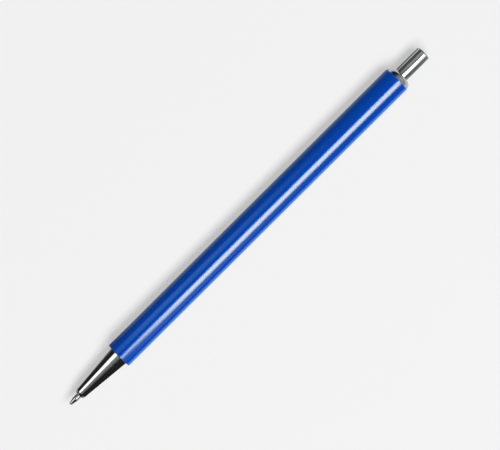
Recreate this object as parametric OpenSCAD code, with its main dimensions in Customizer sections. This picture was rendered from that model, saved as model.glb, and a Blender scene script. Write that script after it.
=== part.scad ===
// Slim metal retractable ballpoint pen, drawn in its writing position, with the point out.
// The pen lies along X on the plane z = 0, and the writing point faces +X. The origin is on
// that plane, under the middle of the pen's length. Every piece is turned about one axis and
// drawn by its stations: distances in mm along that axis, from the rear end of the button.

/* [Barrel] */
// Outside diameter of the barrel tube
barrel_d = 8; // [7.9:0.1:9]
// Length of the barrel tube
barrel_len = 108; // [107.4:0.1:118]
// Diameter of the barrel's bore
barrel_bore_d = 7; // [6.9:0.05:7.1]

/* [Nose cone] */
// Length of the nose cone in front of the barrel
nose_len = 15.55; // [15.2:0.05:17]
// Diameter of the cone at the barrel
nose_base_d = 5.8; // [5.5:0.05:6.2]
// Diameter of the cone at its mouth
nose_mouth_d = 2.9; // [2.75:0.05:3.1]

/* [Tail ring] */
// Diameter of the ring's domed flange behind the barrel
ring_d = 7.6; // [7.2:0.05:7.8]
// Length of the ring's flange
ring_len = 1.85; // [1.4:0.05:2]

/* [Push button] */
// Diameter of the button
button_d = 4.2; // [3.9:0.05:4.25]
// Length of button behind the ring when the point is out
button_out = 8.9; // [8:0.1:10]
// How far the button comes out when the point goes in
retract_travel = 5.5; // [5:0.1:5.6]
// How far the button can be pressed past the writing position
press_travel = 1.2; // [1:0.1:1.2]

/* [Refill] */
// Overall length of the refill
refill_len = 107; // [106:0.1:107.5]
// Outside diameter of the ink tube
refill_d = 3; // [2.9:0.05:3.1]
// Length of writing point in front of the nose cone
point_out = 3.6; // [3:0.1:3.8]
// Diameter of the writing ball
ball_d = 0.7; // [0.7:0.1:0.8]

/* [Return spring] */
// Wire diameter
spring_wire_d = 0.32; // [0.28:0.01:0.34]
// Number of turns, with the closed turn at each end
spring_turns = 12; // [9:1:14]

/* [Hidden] */
$fn = 64;

// Stations along the pen
ring_rear = button_out;
barrel_rear = ring_rear + ring_len;
barrel_front = barrel_rear + barrel_len;
nose_front = barrel_front + nose_len;
point_front = nose_front + point_out;
refill_rear = point_front - refill_len;
pen_len = point_front;

// Radii of the outside
barrel_r = barrel_d / 2;
bore_r = barrel_bore_d / 2;
ring_r = ring_d / 2;
button_r = button_d / 2;

// Clearances
slide_gap = 0.05;   // button in its ring
guide_gap = 0.1;    // moulded pieces that slide in each other
face_gap = 0.05;    // end faces that meet on different bodies
stop_gap = 0.2;     // left at a stop, so that the travel's end is clear

// Click mechanism
sectors = 4;                // deep slots in the sleeve, and lugs on the plunger and the rotor
slot_r = 2.95;              // bottom of the slots
rib_r = 2.35;               // inside of the ribs between the slots
slot_w = 1.15;
lug_r = slot_r - guide_gap;
lug_w = slot_w - 2 * guide_gap;
core_r = rib_r - guide_gap; // body of the plunger and the rotor
stem_r = 1.33;              // rotor stem, which turns in the plunger
stem_bore_r = stem_r + 0.07;
tooth_depth = 0.9;

ring_spigot_front = barrel_rear + 2.2;
slots_rear = ring_spigot_front + 1.5;
shoulder_rear = barrel_rear + retract_travel + stop_gap;
rotor_front = refill_rear + 1;              // rim of the cup that holds the refill
rotor_lug_front = refill_rear - 2.5;
rotor_rear = refill_rear - 5.25;            // tips of the rotor's lugs
sleeve_front = rotor_rear - 0.15;           // tips of the sleeve's teeth
crown_front = rotor_rear - 0.1;             // tips of the plunger's crown
plunger_lug_rear = slots_rear + retract_travel + stop_gap;
cap_front = shoulder_rear - 0.1;            // open end of the button cap
cap_bore_r = button_r - 0.4;
plunger_rear = 4;

// Front end
bush_front = barrel_front - 0.4;
bush_rear = barrel_front - 10;
spigot_rear = barrel_front - 6.4;
thread_crest_r = 2.6;
thread_root_r = 2.4;
thread_pitch = 0.6;
nose_bore_r = 1.8;
spring_seat = barrel_front + 6.3;
throat_front = nose_front - 3.2;
nose_throat_r = 1.3;
mouth_bore_r = 0.83;

// Refill
neck_r = 0.75;
shank_r = 1.15;
sleeve_r = 1.25;
collar_r = 1.65;
ink_r = 1.1;
ball_r = ball_d / 2;
step_front = throat_front - press_travel - stop_gap;
holder_front = point_front - 14;
shank_rear = point_front - 17;
collar_front = point_front - 30;
collar_rear = collar_front - 1.2;
holder_rear = collar_rear - 5;
plug_front = refill_rear + 4;
ink_rear = plug_front + 14;

// Places a piece drawn along +Z on the pen's axis
module along_pen() {
    translate([-pen_len / 2, 0, barrel_r]) rotate([0, 90, 0]) children();
}

// A solid of revolution through [radius, station] points
module turned(points) {
    rotate_extrude() polygon(points);
}

module rod(r, from, to) {
    translate([0, 0, from]) cylinder(h = to - from, r = r);
}

module tube(r, bore, from, to) {
    turned([[bore, from], [r, from], [r, to], [bore, to]]);
}

// Copies its children evenly round the axis
module around(count) {
    for (i = [0 : count - 1]) rotate([0, 0, 360 * i / count]) children();
}

// A radial bar from the axis, which is kept inside the radius r
module lug(r, width, from, to) {
    intersection() {
        rod(r, from, to);
        translate([0, -width / 2, from]) cube([r, width, to - from]);
    }
}

// A radial wedge: its outline is in tangent and axial directions, and it runs out to the reach
module wedge(outline, station, reach) {
    translate([0, 0, station]) rotate([90, 0, 90]) linear_extrude(reach) polygon(outline);
}

// Radius and station of each point of a thread, drawn as plain ridges and made smaller by the gap
function thread(from, to, gap = 0) = [
    for (s = [from : thread_pitch : to - thread_pitch], half = [0, 1])
        [(half == 0 ? thread_root_r : thread_crest_r) - gap, s + half * thread_pitch / 2]
];

// Blue lacquered tube with eased edges
module barrel() {
    edge = 0.12;
    color("mediumblue") along_pen() turned([
        [bore_r, barrel_rear], [barrel_r - edge, barrel_rear], [barrel_r, barrel_rear + edge],
        [barrel_r, barrel_front - edge], [barrel_r - edge, barrel_front], [bore_r, barrel_front]
    ]);
}

// Domed chrome flange behind the barrel, with a spigot pressed into it
module tail_ring() {
    guide_r = button_r + slide_gap;
    rim = 0.05;     // left flat round the button
    round_r = min(ring_len, ring_r - guide_r) - rim;
    color("silver") along_pen() {
        rotate_extrude() intersection() {
            translate([guide_r, ring_rear]) square([ring_r - guide_r, ring_len]);
            union() {
                translate([guide_r, ring_rear]) square([ring_r - round_r - guide_r, ring_len]);
                translate([guide_r, ring_rear + round_r]) square([ring_r - guide_r, ring_len]);
                translate([ring_r - round_r, ring_rear + round_r]) circle(round_r);
            }
        }
        tube(bore_r, rib_r, barrel_rear, ring_spigot_front);
    }
}

// Fixed sleeve: slots for the lugs, and saw teeth round its front end
module cam_sleeve() {
    tooth_w = 1.8;
    saw = [[-tooth_w / 2, 0.1], [tooth_w / 2, 0.1], [tooth_w / 2, -tooth_depth]];
    color("white") along_pen() difference() {
        tube(bore_r, rib_r, ring_spigot_front, sleeve_front);
        around(sectors) lug(slot_r, slot_w, slots_rear, sleeve_front + 1);
        intersection() {
            rod(slot_r, sleeve_front - 2 * tooth_depth, sleeve_front + 1);
            around(2 * sectors) wedge(saw, sleeve_front, slot_r + 1);
        }
    }
}

// Brass bush with the thread for the nose cone
module front_bush() {
    color("goldenrod") along_pen() turned(concat(
        [[bore_r, bush_front], [bore_r, bush_rear], [thread_root_r, bush_rear]],
        thread(bush_rear + thread_pitch, bush_front - thread_pitch),
        [[thread_crest_r, bush_front]]
    ));
}

// Chrome cone with a threaded spigot, a seat for the spring and a guide for the point
module nose_cone() {
    base_r = nose_base_d / 2;
    mouth_r = nose_mouth_d / 2;
    lip_r = 0.45;
    color("silver") along_pen() difference() {
        union() {
            turned(concat(
                [[0, spigot_rear]], thread(spigot_rear, bush_front - thread_pitch, guide_gap),
                [[thread_root_r - guide_gap, bush_front], [0, bush_front]]
            ));
            rod(base_r, bush_front, barrel_front);
            translate([0, 0, barrel_front])
                cylinder(h = nose_len - lip_r, r1 = base_r, r2 = mouth_r);
            rod(mouth_r - lip_r, nose_front - lip_r, nose_front);
            translate([0, 0, nose_front - lip_r])
                rotate_extrude() translate([mouth_r - lip_r, 0]) circle(lip_r);
        }
        rod(nose_bore_r, spigot_rear - 1, spring_seat);
        rod(nose_throat_r, spring_seat - 1, throat_front);
        translate([0, 0, throat_front]) cylinder(h = 1.8, r1 = nose_throat_r, r2 = mouth_bore_r);
        rod(mouth_bore_r, nose_front - 1.5, nose_front + 1);
    }
}

// Chrome cap with a rounded edge and a slightly domed end
module push_button() {
    edge = 0.3;
    dome_r = 14;
    color("silver") along_pen() difference() {
        rotate_extrude() intersection() {
            square([button_r, cap_front]);
            translate([0, dome_r]) circle(dome_r, $fn = 360);
            union() {
                square([button_r - edge, cap_front]);
                translate([0, 2 * edge]) square([button_r, cap_front]);
                translate([button_r - edge, 2 * edge]) circle(edge);
            }
        }
        rod(cap_bore_r, plunger_rear - 1, cap_front + 1);
    }
}

// Moulded rod: stem in the button, guide lugs, and a crown that drives the rotor
module plunger() {
    notch_w = 1.1;
    notch = [[-notch_w / 2, 0.1], [notch_w / 2, 0.1], [0, -tooth_depth]];
    color("gainsboro") along_pen() difference() {
        union() {
            rod(cap_bore_r, plunger_rear, shoulder_rear + 1);
            rod(core_r, shoulder_rear, crown_front);
            around(sectors) lug(lug_r, lug_w, plunger_lug_rear, crown_front);
        }
        rod(stem_bore_r, crown_front - 8, crown_front + 1);
        around(2 * sectors) wedge(notch, crown_front, slot_r + 1);
    }
}

// Turning cam: sloped lugs that rest on the sleeve's teeth, and a cup for the refill
module cam_rotor() {
    slope = [[-slot_w / 2, -0.1], [slot_w / 2, -0.1], [slot_w / 2, tooth_depth * 0.7]];
    color("orangered") along_pen() difference() {
        union() {
            rod(stem_r, crown_front - 7, rotor_rear + 1);
            difference() {
                union() {
                    rod(core_r, rotor_rear, rotor_front);
                    around(sectors) lug(lug_r, lug_w, rotor_rear, rotor_lug_front);
                }
                around(2 * sectors) wedge(slope, rotor_rear, slot_r + 1);
            }
        }
        rod(refill_d / 2 + guide_gap, refill_rear - face_gap, rotor_front + 1);
    }
}

module refill_tube() {
    color("aliceblue") along_pen() tube(refill_d / 2, ink_r, refill_rear, collar_rear);
}

module ink_column() {
    color("midnightblue") along_pen() rod(ink_r, ink_rear, holder_rear);
}

// Plug in the rear of the ink tube, with an air vent
module refill_end_plug() {
    color("white") along_pen() tube(ink_r, 0.3, refill_rear, plug_front);
}

// Sleeve that carries the metal point, with the collar that the spring pushes
module point_holder() {
    channel_r = 0.6;
    color("white") along_pen() turned([
        [channel_r, holder_rear], [ink_r, holder_rear], [ink_r, collar_rear],
        [collar_r, collar_rear], [collar_r, collar_front], [sleeve_r, collar_front],
        [sleeve_r, holder_front], [shank_r, holder_front], [shank_r, shank_rear],
        [channel_r, shank_rear]
    ]);
}

// Stepped metal point with its ink channel and the seat of the ball
module writing_point() {
    channel_r = 0.25;
    rim_wall = 0.04;
    rim_r = ball_r + rim_wall;
    rim_depth = 0.22;
    taper_depth = 2.15;
    chamfer = 0.25;
    seat_gap = 0.015;
    color("lightgray") along_pen() difference() {
        turned([
            [0, shank_rear], [shank_r, shank_rear],
            [shank_r, step_front - chamfer], [shank_r - chamfer, step_front],
            [neck_r, step_front],
            [neck_r, point_front - taper_depth], [rim_r, point_front - rim_depth],
            [0, point_front - rim_depth]
        ]);
        rod(channel_r, shank_rear - 1, point_front - ball_d);
        translate([0, 0, point_front - ball_r]) sphere(ball_r + seat_gap);
    }
}

module writing_ball() {
    color("dimgray") along_pen() translate([0, 0, point_front - ball_r]) sphere(ball_r);
}

// Round wire coiled with one closed turn at each end
module return_spring() {
    sides = 6;
    steps = 16;             // per turn
    coil_r = 1.53;
    gap = 0.03;
    wire_r = spring_wire_d / 2;
    rear = collar_front + gap + wire_r;
    front = spring_seat - gap - wire_r;
    closed = spring_wire_d * 1.05;
    open_pitch = (front - rear - 2 * closed) / (spring_turns - 2);
    rings = spring_turns * steps;

    function rise(turn) = turn < 1 ? turn * closed
        : turn < spring_turns - 1 ? closed + (turn - 1) * open_pitch
        : front - rear - (spring_turns - turn) * closed;

    points = [
        for (i = [0 : rings], k = [0 : sides - 1])
            let (a = 360 * i / steps, b = 360 * k / sides, r = coil_r + wire_r * cos(b))
                [r * cos(a), r * sin(a), rear + rise(i / steps) + wire_r * sin(b)]
    ];
    walls = [
        for (i = [0 : rings - 1], k = [0 : sides - 1])
            let (a = i * sides + k, b = i * sides + (k + 1) % sides)
                [a, a + sides, b + sides, b]
    ];
    ends = [
        [for (k = [0 : sides - 1]) k],
        [for (k = [sides - 1 : -1 : 0]) rings * sides + k]
    ];
    color("lightsteelblue") along_pen() polyhedron(points, concat(walls, ends));
}

barrel();
tail_ring();
cam_sleeve();
front_bush();
nose_cone();
push_button();
plunger();
cam_rotor();
refill_tube();
ink_column();
refill_end_plug();
point_holder();
writing_point();
writing_ball();
return_spring();
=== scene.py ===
"""Looks of a slim retractable ballpoint pen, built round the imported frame.

Every round piece is a lathe mesh with eased edges, and the spring is a swept wire. The pieces with
slots, lugs and teeth are the frame's own solids. Places and outer sizes come from the frame. The
other sizes are metres, written as millimetres times MM, and x runs along the pen to its point.
"""
import math

import bmesh
import bpy
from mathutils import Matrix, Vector


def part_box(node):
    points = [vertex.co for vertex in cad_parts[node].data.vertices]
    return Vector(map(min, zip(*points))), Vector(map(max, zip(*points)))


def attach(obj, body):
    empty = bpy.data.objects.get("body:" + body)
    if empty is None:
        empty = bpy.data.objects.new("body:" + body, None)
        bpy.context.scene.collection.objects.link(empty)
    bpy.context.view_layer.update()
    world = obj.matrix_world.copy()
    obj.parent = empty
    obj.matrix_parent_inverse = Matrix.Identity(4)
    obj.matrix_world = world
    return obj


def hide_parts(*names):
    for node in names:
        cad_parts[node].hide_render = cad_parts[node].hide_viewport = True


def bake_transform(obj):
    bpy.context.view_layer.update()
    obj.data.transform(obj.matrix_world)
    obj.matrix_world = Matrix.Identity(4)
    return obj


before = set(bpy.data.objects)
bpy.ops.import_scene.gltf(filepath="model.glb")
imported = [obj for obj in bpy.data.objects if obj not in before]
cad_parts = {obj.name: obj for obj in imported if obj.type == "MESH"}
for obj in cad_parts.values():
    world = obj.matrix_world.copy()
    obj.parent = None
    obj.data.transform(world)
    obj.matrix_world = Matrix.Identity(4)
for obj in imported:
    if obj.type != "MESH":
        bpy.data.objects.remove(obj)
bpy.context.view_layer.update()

MM = 0.001
UM = MM / 1000
TURN = 2 * math.pi
DEGREES = 180 / math.pi
SEGMENTS = 128          # round a lathe piece
ARC_STEPS = 7           # round a rounded edge
LARGE_ARC = 0.5 * MM    # radius above which an edge gets LARGE_STEPS times as many
LARGE_STEPS = 3
SHARP_ANGLE = 34.0      # degrees: edges that turn more than this stay sharp
ON_AXIS = 1e-9          # radius below which a ring is one point


def reach(node):
    """Rear end, front end and outer radius of a round node, in metres."""
    low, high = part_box(node)
    return low.x, high.x, (high.y - low.y) / 2


BARREL_REAR, BARREL_FRONT, BARREL_R = reach("barrel")
RING_REAR, RING_FRONT = reach("tail_ring")[:2]
BORE_R = reach("cam_sleeve")[2]         # the sleeve fills the barrel's bore
TIP = reach("writing_ball")[1]
AXIS_HEIGHT = BARREL_R
BALL_R = 0.35 * MM
THREAD_PITCH = 0.6 * MM
THREAD_INSET = 0.3 * MM                 # from the end of its piece to the start of a thread


# ---------------------------------------------------------------------------------------------
# Lathe meshes
# ---------------------------------------------------------------------------------------------

def arc_at(before, corner, after, radius):
    """Points of the arc that rounds a corner of an outline."""
    a = (Vector(before) - Vector(corner)).normalized()
    b = (Vector(after) - Vector(corner)).normalized()
    half = a.angle(b) / 2
    setback = radius / math.tan(half)
    centre = Vector(corner) + (a + b).normalized() * (radius / math.sin(half))
    start = Vector(corner) + a * setback - centre
    end = Vector(corner) + b * setback - centre
    sweep = start.angle_signed(end)
    steps = ARC_STEPS * (LARGE_STEPS if radius > LARGE_ARC else 1)
    points = []
    for i in range(steps + 1):
        turn = -sweep * i / steps
        c = math.cos(turn)
        s = math.sin(turn)
        x = centre.x + c * start.x - s * start.y
        y = centre.y + s * start.x + c * start.y
        points.append((x, y))
    return points


def rounded(outline, closed):
    """Outline points (x, radius), where a third number rounds that corner."""
    count = len(outline)
    points = []
    for i, corner in enumerate(outline):
        inner = closed or 0 < i < count - 1
        if len(corner) == 3 and inner:
            before = outline[i - 1][:2]
            after = outline[(i + 1) % count][:2]
            points += arc_at(before, corner[:2], after, corner[2])
        else:
            points.append(tuple(corner[:2]))
    return points


def held(points, closed):
    """Adds a point near both ends of each long stretch, so that smooth shading stays true along it."""
    grip = 0.03 * MM
    shortest = 0.12 * MM
    result = []
    last = len(points) if closed else len(points) - 1
    for i, point in enumerate(points):
        result.append(point)
        if i == last:
            break
        a = Vector(point)
        b = Vector(points[(i + 1) % len(points)])
        if (b - a).length > shortest:
            step = (b - a).normalized() * grip
            result += [tuple(a + step), tuple(b - step)]
    return result


def piece_of(name, bm, material):
    """A new object of that mesh, smooth except at its sharp edges."""
    bmesh.ops.recalc_face_normals(bm, faces=bm.faces)
    mesh = bpy.data.meshes.new(name)
    bm.to_mesh(mesh)
    bm.free()
    mesh.materials.append(material)
    mesh.shade_smooth()
    mesh.set_sharp_from_angle(angle=math.radians(SHARP_ANGLE))
    piece = bpy.data.objects.new(name, mesh)
    bpy.context.scene.collection.objects.link(piece)
    return piece


def at(x, radius, angle):
    """The point at that place along the pen, distance from its axis and angle round it."""
    return x, radius * math.sin(angle), AXIS_HEIGHT + radius * math.cos(angle)


def bridge(bm, a, b):
    """Faces between two rings of vertices. A ring of one vertex is the pole of a closed end."""
    count = max(len(a), len(b))
    if count == 1:
        return
    for k in range(count):
        n = (k + 1) % count
        if len(a) == 1:
            bm.faces.new((a[0], b[k], b[n]))
        elif len(b) == 1:
            bm.faces.new((a[k], b[0], a[n]))
        else:
            bm.faces.new((a[k], b[k], b[n], a[n]))


def lathe(name, outline, material, closed=True, segments=SEGMENTS, radius_at=None):
    """Turns an outline about the pen's axis. radius_at(x, radius, angle) may vary the radius."""
    bm = bmesh.new()
    rings = []
    for x, radius in held(rounded(outline, closed), closed):
        if radius < ON_AXIS:
            rings.append([bm.verts.new(at(x, 0, 0))])
            continue
        ring = []
        for k in range(segments):
            angle = TURN * (k + 0.5) / segments
            r = radius_at(x, radius, angle) if radius_at else radius
            ring.append(bm.verts.new(at(x, r, angle)))
        rings.append(ring)
    for a, b in zip(rings, rings[1:]):
        bridge(bm, a, b)
    if closed:
        bridge(bm, rings[-1], rings[0])
    return piece_of(name, bm, material)


def no_bounce(piece):
    """The piece throws its shadow on the floor, but none of its colour."""
    piece.visible_diffuse = False


def stand_in(piece, node, body):
    """The piece is shown in place of its CAD node, and moves with that node's body."""
    no_bounce(piece)
    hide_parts(node)
    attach(piece, body)


# ---------------------------------------------------------------------------------------------
# Shader helpers
# ---------------------------------------------------------------------------------------------

def put(tree, socket, value):
    """Links an output socket, or sets a plain value."""
    if isinstance(value, bpy.types.NodeSocket):
        tree.links.new(value, socket)
    else:
        socket.default_value = value


def calc(tree, operation, *values):
    """The result of a math node."""
    node = tree.nodes.new("ShaderNodeMath")
    node.operation = operation
    for socket, value in zip(node.inputs, values):
        put(tree, socket, value)
    return node.outputs[0]


def spread(tree, value, low, high, to_low=0.0, to_high=1.0):
    """Maps a value smoothly from the range low..high to the range to_low..to_high."""
    node = tree.nodes.new("ShaderNodeMapRange")
    node.interpolation_type = "SMOOTHSTEP"
    for name, v in (("From Min", low), ("From Max", high), ("To Min", to_low), ("To Max", to_high)):
        node.inputs[name].default_value = v
    put(tree, node.inputs["Value"], value)
    return node.outputs["Result"]


def noise(tree, per_mm, detail=3.0, ratio=(1, 1, 1)):
    """Noise fixed to the piece: per_mm features to a millimetre, times the ratio along each axis."""
    place = tree.nodes.new("ShaderNodeTexCoord")
    mapping = tree.nodes.new("ShaderNodeMapping")
    mapping.inputs["Scale"].default_value = [per_mm / MM * r for r in ratio]
    tree.links.new(place.outputs["Object"], mapping.inputs["Vector"])
    texture = tree.nodes.new("ShaderNodeTexNoise")
    texture.inputs["Scale"].default_value = 1.0
    texture.inputs["Detail"].default_value = detail
    tree.links.new(mapping.outputs["Vector"], texture.inputs["Vector"])
    return texture.outputs["Fac"]


def tint(tree, amount, colour_a, colour_b):
    """Mixes two colours by an amount."""
    node = tree.nodes.new("ShaderNodeMix")
    node.data_type = "RGBA"
    put(tree, node.inputs["Factor"], amount)
    node.inputs["A"].default_value = (*colour_a, 1)
    node.inputs["B"].default_value = (*colour_b, 1)
    return node.outputs["Result"]


def scaled(colour, share):
    """A darker colour of the same hue."""
    return [c * share for c in colour]


def bump(tree, height, depth_um):
    """A bump whose height stands for that many micrometres."""
    node = tree.nodes.new("ShaderNodeBump")
    node.inputs["Strength"].default_value = 1.0
    node.inputs["Distance"].default_value = depth_um * UM
    tree.links.new(height, node.inputs["Height"])
    return node.outputs["Normal"]


def surface(name, **values):
    """A material of one Principled shader, with plain values on its sockets."""
    material = bpy.data.materials.new(name)
    material.use_nodes = True
    shader = material.node_tree.nodes["Principled BSDF"]
    for key, value in values.items():
        shader.inputs[key.replace("_", " ")].default_value = value
    return material, material.node_tree, shader


# ---------------------------------------------------------------------------------------------
# Materials
# ---------------------------------------------------------------------------------------------

def lacquer(name, colour, deep):
    """Glossy lacquer: a coloured coat, a little paler at its rims, under an almost even clear coat."""
    material, tree, shader = surface(
        name, Specular_IOR_Level=0.0, Coat_Weight=1.0, Coat_Roughness=0.035, Coat_IOR=1.5,
        Sheen_Weight=0.25, Sheen_Roughness=0.3, Sheen_Tint=(0.6, 0.85, 1.0, 1))
    put(tree, shader.inputs["Base Color"], tint(tree, noise(tree, 0.12), deep, colour))
    put(tree, shader.inputs["Roughness"],
        spread(tree, noise(tree, 0.8), 0.3, 0.7, to_low=0.3, to_high=0.4))
    peel = bump(tree, noise(tree, 0.7, detail=2.0, ratio=(0.35, 1, 1)), depth_um=0.25)
    put(tree, shader.inputs["Normal"], peel)
    put(tree, shader.inputs["Coat Normal"], peel)
    return material


def polished(name, colour, roughness, line_depth_um=0.06):
    """Polished metal with fine turning lines and a little haze."""
    material, tree, shader = surface(name, Metallic=1.0)
    haze = noise(tree, 0.6, detail=4.0)
    put(tree, shader.inputs["Base Color"], tint(tree, haze, scaled(colour, 0.93), colour))
    put(tree, shader.inputs["Roughness"],
        spread(tree, haze, 0.3, 0.75, to_low=roughness * 0.8, to_high=roughness * 1.3))
    lines = noise(tree, 0.4, ratio=(22, 1, 1))
    put(tree, shader.inputs["Normal"], bump(tree, lines, line_depth_um))
    return material


def moulded(name, colour, roughness):
    """Injection-moulded plastic: fine spark-eroded grain and faint flow marks."""
    material, tree, shader = surface(name, IOR=1.49)
    flow = noise(tree, 0.25, detail=2.0, ratio=(0.3, 1, 1))
    put(tree, shader.inputs["Base Color"], tint(tree, flow, scaled(colour, 0.86), colour))
    grain = noise(tree, 9.0, detail=2.0)
    put(tree, shader.inputs["Roughness"],
        spread(tree, grain, 0.3, 0.7, to_low=roughness * 0.85, to_high=roughness * 1.15))
    put(tree, shader.inputs["Normal"], bump(tree, grain, depth_um=3.0))
    return material


def clear_tube(name):
    """Extruded polypropylene tube, slightly milky, with draw lines along it."""
    material, tree, shader = surface(name, IOR=1.49, Transmission_Weight=0.85)
    lines = noise(tree, 1.5, ratio=(0.02, 1, 1))
    put(tree, shader.inputs["Base Color"],
        tint(tree, lines, (0.86, 0.9, 0.93), (0.95, 0.97, 0.98)))
    put(tree, shader.inputs["Roughness"],
        spread(tree, lines, 0.3, 0.7, to_low=0.12, to_high=0.25))
    put(tree, shader.inputs["Normal"], bump(tree, lines, depth_um=2.0))
    return material


def paste_ink(name):
    """Thick ballpoint ink, with streaks where it wets the tube."""
    material, tree, shader = surface(name, IOR=1.45)
    streaks = noise(tree, 0.8, ratio=(0.15, 1, 1))
    put(tree, shader.inputs["Base Color"],
        tint(tree, streaks, (0.004, 0.006, 0.07), (0.01, 0.016, 0.17)))
    put(tree, shader.inputs["Roughness"],
        spread(tree, streaks, 0.35, 0.65, to_low=0.12, to_high=0.3))
    put(tree, shader.inputs["Normal"], bump(tree, streaks, depth_um=12.0))
    return material


BLUE_LACQUER = lacquer("blue_lacquer", colour=(0.0012, 0.066, 0.46), deep=(0.001, 0.058, 0.42))
CHROME = polished("chrome_plate", (0.64, 0.64, 0.66), roughness=0.07)
BRASS = polished("turned_brass", (0.72, 0.53, 0.25), roughness=0.26, line_depth_um=0.4)
NICKEL_SILVER = polished("nickel_silver", (0.64, 0.62, 0.6), roughness=0.1, line_depth_um=0.12)
CARBIDE = polished("tungsten_carbide", (0.22, 0.22, 0.24), roughness=0.12)
SPRING_STEEL = polished("spring_steel", (0.5, 0.5, 0.52), roughness=0.2, line_depth_um=0.2)
WHITE_PLASTIC = moulded("white_acetal", (0.8, 0.8, 0.77), roughness=0.45)
GREY_PLASTIC = moulded("grey_acetal", (0.35, 0.36, 0.38), roughness=0.45)
RED_PLASTIC = moulded("red_acetal", (0.6, 0.08, 0.05), roughness=0.42)
CLEAR_PLASTIC = clear_tube("clear_polypropylene")
INK = paste_ink("blue_paste_ink")


# ---------------------------------------------------------------------------------------------
# Outside of the pen
# ---------------------------------------------------------------------------------------------

def make_barrel():
    """Lacquered tube whose ends are turned square, with eased edges."""
    outer_edge = 0.13 * MM
    inner_edge = 0.05 * MM
    outline = [
        (BARREL_REAR, BORE_R, inner_edge),
        (BARREL_REAR, BARREL_R, outer_edge),
        (BARREL_FRONT, BARREL_R, outer_edge),
        (BARREL_FRONT, BORE_R, inner_edge),
    ]
    piece = lathe("barrel_tube", outline, BLUE_LACQUER, segments=192)
    stand_in(piece, "barrel", "housing")


def make_tail_ring():
    """Chrome flange, domed at the rear, on a spigot pressed into the barrel."""
    flange_r = 3.8 * MM
    shoulder_r = 3.73 * MM
    guide_r = 2.15 * MM
    spigot_bore = 2.35 * MM
    dome = 1.55 * MM
    outline = [
        (RING_REAR, guide_r),
        (RING_REAR, shoulder_r, dome),
        (BARREL_REAR, flange_r),
        (BARREL_REAR, BORE_R),
        (RING_FRONT, BORE_R, 0.15 * MM),
        (RING_FRONT, spigot_bore),
        (BARREL_REAR, spigot_bore),
        (BARREL_REAR, guide_r),
    ]
    piece = lathe("tail_ring_chrome", outline, CHROME, segments=144)
    stand_in(piece, "tail_ring", "housing")


def make_push_button():
    """Chrome cap: slightly domed end, rounded edge, and the bore that holds the plunger."""
    rear, front, radius = reach("push_button")
    bore_r = 1.7 * MM
    bore_rear = rear + 3 * MM
    dome_radius = 14 * MM
    edge = 0.3 * MM
    dome_steps = 8

    def dome_at(r):
        """Where the domed end stands at that distance from the axis."""
        return rear + dome_radius - math.sqrt(dome_radius ** 2 - r ** 2)

    outline = []
    for i in range(dome_steps):
        r = (radius - edge) * i / dome_steps
        outline.append((dome_at(r), r))
    outline += [
        (dome_at(radius), radius, edge),
        (front, radius, 0.1 * MM),
        (front, bore_r, 0.05 * MM),
        (bore_rear, bore_r, 0.2 * MM),
        (bore_rear, 0),
    ]
    piece = lathe("push_button_cap", outline, CHROME, closed=False, segments=144)
    stand_in(piece, "push_button", "button")


def thread_wave(x, angle):
    """Height of a thread's ridge, from 0 on its flat root to 1 on its flat crest."""
    gain = 1.35
    drop = 0.18
    phase = (x / THREAD_PITCH - angle / TURN) % 1.0
    wave = 1 - abs(2 * phase - 1)
    return min(1.0, max(0.0, gain * wave - drop))


def thread_line(start, end, root, samples):
    """Points of an outline along a thread's root."""
    return [(start + (end - start) * i / samples, root) for i in range(samples + 1)]


def thread_cutter(low, high, root, crest):
    """For lathe: raises a thread on the root between low and high, fading in and out at its ends."""
    run_out = 0.5 * MM

    def radius_at(x, radius, angle):
        if radius != root or not low <= x <= high:
            return radius
        depth = min(1.0, max(0.0, (x - low) / run_out), max(0.0, (high - x) / run_out))
        return root + (crest - root) * depth * thread_wave(x, angle)

    return radius_at


def make_nose_cone():
    """Chrome cone with a bevelled lip, a threaded spigot, the spring's seat and the point's guide."""
    rear, front, base_r = reach("nose_cone")
    bush_front = reach("front_bush")[1]
    spigot_root = 2.3 * MM
    spigot_crest = 2.5 * MM
    mouth_r = 1.45 * MM
    lip_r = 1.18 * MM
    lip = 0.78 * MM
    lip_root = mouth_r + lip * (base_r - mouth_r) / (front - BARREL_FRONT)
    bore_r = 1.8 * MM
    throat_r = 1.3 * MM
    mouth_bore = 0.83 * MM
    seat = BARREL_FRONT + 6.3 * MM
    throat_front = front - 3.2 * MM
    guide_rear = front - 1.4 * MM
    thread_low = rear + THREAD_INSET
    thread_high = bush_front - THREAD_INSET
    outline = [
        (rear, bore_r, 0.1 * MM),
        (rear, spigot_root - 0.15 * MM),
        *thread_line(thread_low, thread_high, spigot_root, 110),
        (bush_front, spigot_root),
        (bush_front, base_r, 0.05 * MM),
        (BARREL_FRONT, base_r),
        (front - lip, lip_root, 0.06 * MM),
        (front, lip_r, 0.12 * MM),
        (front, mouth_bore, 0.12 * MM),
        (guide_rear, mouth_bore),
        (throat_front, throat_r),
        (seat, throat_r, 0.05 * MM),
        (seat, bore_r),
    ]
    thread = thread_cutter(thread_low, thread_high, spigot_root, spigot_crest)
    piece = lathe("nose_cone_chrome", outline, CHROME, segments=144, radius_at=thread)
    stand_in(piece, "nose_cone", "housing")


def make_front_bush():
    """Brass bush pressed into the barrel, with the thread that takes the nose cone."""
    rear, front, outer = reach("front_bush")
    root = 2.4 * MM
    crest = 2.6 * MM
    thread_low = rear + THREAD_INSET
    thread_high = front - THREAD_INSET
    outline = [
        (rear, root + 0.15 * MM),
        (rear, outer, 0.2 * MM),
        (front, outer, 0.08 * MM),
        (front, root + 0.2 * MM),
        *thread_line(thread_high, thread_low, root, 170),
    ]
    thread = thread_cutter(thread_low, thread_high, root, crest)
    piece = lathe("front_bush_brass", outline, BRASS, radius_at=thread)
    stand_in(piece, "front_bush", "housing")


# ---------------------------------------------------------------------------------------------
# Refill and spring
# ---------------------------------------------------------------------------------------------

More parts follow.
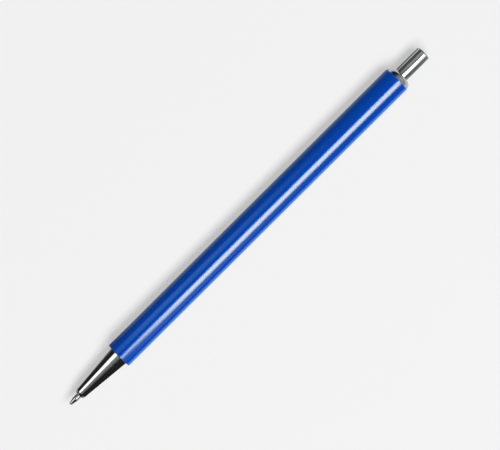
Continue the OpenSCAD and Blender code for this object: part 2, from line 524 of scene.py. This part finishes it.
def ball_seat(channel_r, rim_front):
    """The socket's outline, from the rim in to the ink channel, just clear of the ball."""
    steps = 6
    clearance = 0.015 * MM
    centre = TIP - BALL_R
    seat_r = BALL_R + clearance
    first = math.asin(channel_r / seat_r)
    last = math.pi - math.acos((rim_front - centre) / seat_r)
    points = []
    for i in reversed(range(steps + 1)):
        a = first + (last - first) * i / steps
        points.append((centre - seat_r * math.cos(a), seat_r * math.sin(a)))
    return points


def make_writing_point():
    """Stepped nickel-silver point: shank, neck and the taper that holds the ball."""
    rear = reach("writing_point")[0]
    shank_r = 1.15 * MM
    neck_r = 0.75 * MM
    rim_r = 0.39 * MM
    step_front = TIP - 8.2 * MM
    step_slope = 0.1 * MM
    taper_rear = TIP - 2.15 * MM
    taper_blend = 0.6 * MM
    rim_front = TIP - 0.22 * MM
    channel_r = 0.25 * MM
    outline = [
        (rear, channel_r),
        (rear, shank_r, 0.1 * MM),
        (step_front, shank_r, 0.2 * MM),
        (step_front + step_slope, neck_r, 0.06 * MM),
        (taper_rear, neck_r, taper_blend),
        (rim_front, rim_r, 0.03 * MM),
        *ball_seat(channel_r, rim_front),
    ]
    piece = lathe("writing_point_turned", outline, NICKEL_SILVER)
    stand_in(piece, "writing_point", "refill")


def make_writing_ball():
    """Carbide ball."""
    steps = 32
    centre = TIP - BALL_R
    outline = []
    for i in range(steps + 1):
        a = math.pi * i / steps
        radius = BALL_R * math.sin(a) if 0 < i < steps else 0
        outline.append((centre - BALL_R * math.cos(a), radius))
    piece = lathe("writing_ball_carbide", outline, CARBIDE, closed=False, segments=64)
    stand_in(piece, "writing_ball", "ball")


def make_refill_tube():
    """Clear ink tube with eased ends."""
    rear, front, outer = reach("refill_tube")
    bore = 1.1 * MM
    edge = 0.08 * MM
    outline = [(rear, bore, edge), (rear, outer, edge), (front, outer, edge), (front, bore, edge)]
    piece = lathe("refill_tube_clear", outline, CLEAR_PLASTIC)
    stand_in(piece, "refill_tube", "refill")


def make_ink_column():
    """Ink, just clear of the tube's bore, with the hollow meniscus at its rear."""
    rear, front, radius = reach("ink_column")
    clearance = 0.005 * MM
    radius -= clearance
    hollow = 0.35 * MM
    steps = 8
    outline = []
    for i in range(steps + 1):
        share = i / steps
        outline.append((rear + hollow * (1 - share ** 2), radius * share))
    outline += [(front, radius), (front, 0)]
    piece = lathe("ink_column_blue", outline, INK, closed=False)
    stand_in(piece, "ink_column", "refill")


def make_refill_plug():
    """Plug with a vent hole, rounded where it enters the tube."""
    rear, front, radius = reach("refill_end_plug")
    vent = 0.3 * MM
    outline = [
        (rear, vent, 0.08 * MM),
        (rear, radius, 0.05 * MM),
        (front, radius, 0.25 * MM),
        (front, vent, 0.05 * MM),
    ]
    piece = lathe("refill_end_plug_white", outline, WHITE_PLASTIC, segments=96)
    stand_in(piece, "refill_end_plug", "refill")


def make_point_holder():
    """Moulded sleeve with the collar that the spring pushes on."""
    rear, front, collar_r = reach("point_holder")
    channel_r = 0.6 * MM
    tail_r = 1.1 * MM
    sleeve_r = 1.25 * MM
    shank_r = 1.15 * MM
    collar_rear = reach("refill_tube")[1]
    collar_front = collar_rear + 1.2 * MM
    socket_rear = reach("writing_point")[0]
    outline = [
        (rear, channel_r),
        (rear, tail_r, 0.2 * MM),
        (collar_rear, tail_r),
        (collar_rear, collar_r, 0.12 * MM),
        (collar_front, collar_r, 0.2 * MM),
        (collar_front, sleeve_r, 0.08 * MM),
        (front, sleeve_r, 0.05 * MM),
        (front, shank_r),
        (socket_rear, shank_r),
        (socket_rear, channel_r),
    ]
    piece = lathe("point_holder_white", outline, WHITE_PLASTIC)
    stand_in(piece, "point_holder", "refill")


def helix(length, turns, closed_rise):
    """For coil: how far along the spring its wire has come. It rises less in its closed end turns."""
    pitch = (length - 2 * closed_rise) / (turns - 2)

    def rise(turn):
        if turn < 1:
            return turn * closed_rise
        if turn < turns - 1:
            return closed_rise + (turn - 1) * pitch
        return length - (turns - turn) * closed_rise

    return rise


def coil(bm, rear, coil_r, wire_r, turns, rise):
    """Round wire swept along a helix, with flat ends."""
    per_turn = 36
    sides = 12
    rings = []
    for i in range(turns * per_turn + 1):
        turn = i / per_turn
        ring = []
        for k in range(sides):
            b = TURN * k / sides
            r = coil_r + wire_r * math.cos(b)
            x = rear + rise(turn) + wire_r * math.sin(b)
            ring.append(bm.verts.new(at(x, r, TURN * turn)))
        rings.append(ring)
    for a, b in zip(rings, rings[1:]):
        bridge(bm, a, b)
    bm.faces.new(rings[0])
    bm.faces.new(rings[-1])


def make_return_spring():
    """Round wire, coiled with one closed turn at each end, between the collar and the nose cone."""
    low, high, outer = reach("return_spring")
    wire_r = 0.16 * MM
    turns = 12
    closed_gap = 1.05           # rise of a closed turn, in wire diameters
    rear = low + wire_r
    front = high - wire_r
    bm = bmesh.new()
    rise = helix(front - rear, turns, 2 * wire_r * closed_gap)
    coil(bm, rear, outer - wire_r, wire_r, turns, rise)
    piece = piece_of("return_spring_wire", bm, SPRING_STEEL)
    no_bounce(piece)
    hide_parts("return_spring")
    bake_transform(piece)


# ---------------------------------------------------------------------------------------------
# Click mechanism: the frame's own solids, as moulded plastic
# ---------------------------------------------------------------------------------------------

def dress(node, material):
    """Gives a CAD node its material."""
    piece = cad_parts[node]
    piece.data.materials.clear()
    piece.data.materials.append(material)
    no_bounce(piece)


# ---------------------------------------------------------------------------------------------
# Floor, light and camera
# ---------------------------------------------------------------------------------------------

BACKDROP = 0.888        # linear value of the surroundings, as the camera sees them
AMBIENT = 0.05          # and as they light the scene
FLOOR_HALF = 4.0        # metres
FLOOR_ALBEDO = 0.5
FLOOR_GLOW = 0.424      # as the camera sees it
FLOOR_FILL = 0.7        # as it lights the pen from below
LIGHT_DISTANCE = 3.0    # metres, from the pen
LIGHT_LENGTH = 3.0      # metres, along the pen

CAMERA_HEIGHT = 560 * MM
CAMERA_OFFSET = (-1.23 * MM, -0.045 * MM)   # from the middle of the pen
CAMERA_LENS = 144.9                         # millimetres
CAMERA_TURN = 135.165                       # degrees: the point lies at the lower left

WARM = (0.93, 1.0, 0.74)
WHITE = (1.0, 1.0, 1.0)
SKY = (0.72, 1.0, 1.0)
SEA = (0.25, 0.7, 1.0)


class Panel:
    """What polished surfaces mirror in one part of the sky.

    Directions are in degrees: across the pen (0 is straight up, + is the +Y side, 180 is straight
    down) and along it (+ is towards the point). Each range is (start, full from, full to, end).
    """

    def __init__(self, across, along, radiance, tint):
        self.across = across
        self.along = along
        self.radiance = radiance
        self.tint = tint


FULL = 180
EDGE = 180.1                                # just past it, so that a range has no seam there
ALL_ROUND = (-EDGE, -FULL, FULL, EDGE)
SECOND_BOX = (-59, -48, -26, -7)
BUTTON_BAND = (-9, -7.5, -6.05, -5.9)       # what the push button mirrors
REAR_BAND = (-90, -80, -9, -6.05)           # what the tail ring's dome mirrors
TAPER_BAND = (25, 32, 60, 66)               # what the writing point's taper mirrors

PANELS = [
    # Main soft box, over the barrel, its narrow end, and its edge over the button
    Panel((7, 29, 35, 62), (-6.05, -5.9, 2, 6), 17.1, WARM),
    Panel((6.5, 26, 29, 43), (2, 6, 6, 6.6), 8.6, SKY),
    Panel((8, 38, 46, 82), BUTTON_BAND, 1.25, WHITE),
    # Second soft box: the dim edge that the barrel mirrors, the box over the cone, and its glow
    Panel((-56, -44, -22, -8), (-4.8, 3.0, 4.0, 6.8), 2.0, SEA),
    Panel(SECOND_BOX, (8, 13, 22, 45), 1.85, WHITE),
    Panel((-50, -20, -2, 48), (8, 14, 40, 55), 0.28, WHITE),
    # Dim panel beside the main box
    Panel((40, 60, 78, 88), (-4.6, 2.7, 3.2, 6.8), 0.9, SKY),
    # Over the button: a dim panel, a strip light beside it, and a faint glow all round
    Panel((-42, -34, -8, 6), BUTTON_BAND, 0.3, WHITE),
    Panel((-108, -103, -92, -86), BUTTON_BAND, 0.66, WHITE),
    Panel(ALL_ROUND, BUTTON_BAND, 0.09, WHITE),
    # Behind the pen: a dim panel, and the floor on either side
    Panel((-46, 10, FULL, EDGE), REAR_BAND, 0.31, WHITE),
    Panel((-EDGE, -FULL, -105, -68), REAR_BAND, 0.75, WHITE),
    Panel((85, 100, FULL, EDGE), REAR_BAND, 0.42, WHITE),
    # Floor beside the barrel, on either side, and beside the cone
    Panel((102, 118, FULL, EDGE), (-6.05, -5.9, 4.8, 7.4), 1.25, SKY),
    Panel((-EDGE, -FULL, -115, -90), (-6.05, -5.9, 4.4, 5.4), 0.5, SKY),
    Panel((-EDGE, -FULL, -115, -90), (5.0, 5.6, 9, 12), 0.15, WHITE),
    # Over the writing point: a dim panel and a bright one
    Panel((-75, -50, 85, 100), (5.4, 6.2, 8.5, 11), 0.3, WHITE),
    Panel((15, 35, 45, 85), (6.0, 6.6, 8.5, 11), 0.8, WHITE),
    # Floor on either side, as the writing point's taper mirrors it
    Panel((-EDGE, -FULL, -115, -95), TAPER_BAND, 0.45, WHITE),
    Panel((95, 115, FULL, EDGE), TAPER_BAND, 0.45, WHITE),
    # Highlights on the barrel as it is seen from behind, and from before the point
    Panel(SECOND_BOX, (34, 38, 48, 52), 3.0, WHITE),
    Panel((8, 30, 35, 62), (-50, -46, -33, -29), 0.5, WHITE),
    # The dark room
    Panel(ALL_ROUND, (-91, -90, 90, 91), 0.02, WHITE),
]


def make_floor():
    """Plain pale floor. Its own glow keeps the soft shadow light. Polished metal doesn't mirror it."""
    bm = bmesh.new()
    bmesh.ops.create_grid(bm, x_segments=1, y_segments=1, size=FLOOR_HALF)
    material, tree, shader = surface(
        "pale_floor", Roughness=1.0, Specular_IOR_Level=0.0, Emission_Color=(1, 1, 1, 1),
        Base_Color=(FLOOR_ALBEDO, FLOOR_ALBEDO, FLOOR_ALBEDO, 1))
    rays = tree.nodes.new("ShaderNodeLightPath")
    glow = calc(tree, "MULTIPLY_ADD", rays.outputs["Is Camera Ray"],
                FLOOR_GLOW - FLOOR_FILL, FLOOR_FILL)
    tree.links.new(glow, shader.inputs["Emission Strength"])
    floor = piece_of("floor", bm, material)
    floor.visible_glossy = False


def make_soft_light(name, lean, width, power):
    """Long soft light over the pen, leaning that many degrees to its +Y side. It isn't mirrored."""
    turn = math.radians(lean)
    light = bpy.data.lights.new(name, "AREA")
    light.shape = "RECTANGLE"
    light.size = LIGHT_LENGTH
    light.size_y = width
    light.energy = power
    lamp = bpy.data.objects.new(name, light)
    lamp.location = (0, LIGHT_DISTANCE * math.sin(turn), LIGHT_DISTANCE * math.cos(turn))
    lamp.rotation_euler = (-turn, 0, 0)
    lamp.visible_glossy = False
    lamp.visible_camera = False
    bpy.context.scene.collection.objects.link(lamp)


def shine(tree, side, tilt, panel):
    """What a panel gives in that direction."""
    shares = []
    for value, (start, full_from, full_to, end) in ((side, panel.across), (tilt, panel.along)):
        shares.append(spread(tree, value, start, full_from))
        shares.append(spread(tree, value, full_to, end, 1.0, 0.0))
    across = calc(tree, "MULTIPLY", *shares[:2])
    along = calc(tree, "MULTIPLY", *shares[2:])
    return calc(tree, "MULTIPLY", calc(tree, "MULTIPLY", across, along), panel.radiance)


def make_studio(tree):
    """The mirrored studio: one background for each tint, added up."""
    place = tree.nodes.new("ShaderNodeTexCoord")
    parts = tree.nodes.new("ShaderNodeSeparateXYZ")
    tree.links.new(place.outputs["Generated"], parts.inputs[0])
    x, y, z = parts.outputs
    side = calc(tree, "MULTIPLY", calc(tree, "ARCTAN2", y, z), DEGREES)
    tilt = calc(tree, "MULTIPLY", calc(tree, "ARCSINE", x), DEGREES)
    studio = None
    for colour in (WARM, WHITE, SKY, SEA):
        total = 0.0
        for panel in PANELS:
            if panel.tint == colour:
                total = calc(tree, "ADD", total, shine(tree, side, tilt, panel))
        boxes = tree.nodes.new("ShaderNodeBackground")
        boxes.inputs["Color"].default_value = (*colour, 1)
        tree.links.new(total, boxes.inputs["Strength"])
        if studio:
            both = tree.nodes.new("ShaderNodeAddShader")
            tree.links.new(studio.outputs[0], both.inputs[0])
            tree.links.new(boxes.outputs[0], both.inputs[1])
            boxes = both
        studio = boxes
    return studio


def make_surroundings(tree, rays):
    """Even light: pale as the camera sees it, and faint as it lights the scene."""
    strength = tree.nodes.new("ShaderNodeMix")
    put(tree, strength.inputs["Factor"], rays.outputs["Is Camera Ray"])
    strength.inputs["A"].default_value = AMBIENT
    strength.inputs["B"].default_value = BACKDROP
    even = tree.nodes.new("ShaderNodeBackground")
    even.inputs["Color"].default_value = (1, 1, 1, 1)
    tree.links.new(strength.outputs["Result"], even.inputs["Strength"])
    return even


def make_world():
    """Even pale surroundings, and a dim studio with soft boxes for what polished surfaces mirror."""
    world = bpy.data.worlds.new("studio")
    bpy.context.scene.world = world
    world.use_nodes = True
    tree = world.node_tree
    tree.nodes.clear()
    rays = tree.nodes.new("ShaderNodeLightPath")
    mix = tree.nodes.new("ShaderNodeMixShader")
    tree.links.new(rays.outputs["Is Glossy Ray"], mix.inputs["Fac"])
    tree.links.new(make_surroundings(tree, rays).outputs[0], mix.inputs[1])
    tree.links.new(make_studio(tree).outputs[0], mix.inputs[2])
    output = tree.nodes.new("ShaderNodeOutputWorld")
    tree.links.new(mix.outputs[0], output.inputs["Surface"])


def make_camera():
    """Looks straight down, with the point towards the lower left of the picture."""
    data = bpy.data.cameras.new("camera")
    data.sensor_width = 36.0
    data.lens = CAMERA_LENS
    data.clip_end = 100.0
    camera = bpy.data.objects.new("camera", data)
    camera.location = (*CAMERA_OFFSET, CAMERA_HEIGHT)
    camera.rotation_euler = (0, 0, math.radians(CAMERA_TURN))
    bpy.context.scene.collection.objects.link(camera)
    bpy.context.scene.camera = camera


make_barrel()
make_tail_ring()
make_push_button()
make_nose_cone()
make_front_bush()
make_writing_point()
make_writing_ball()
make_refill_tube()
make_ink_column()
make_refill_plug()
make_point_holder()
make_return_spring()
dress("cam_sleeve", WHITE_PLASTIC)
dress("plunger", GREY_PLASTIC)
dress("cam_rotor", RED_PLASTIC)
make_floor()
make_soft_light("key_light", lean=25.5, width=1.2, power=86)
make_soft_light("top_light", lean=-2, width=0.6, power=15)
make_world()
make_camera()
bpy.context.scene.view_settings.view_transform = "Standard"
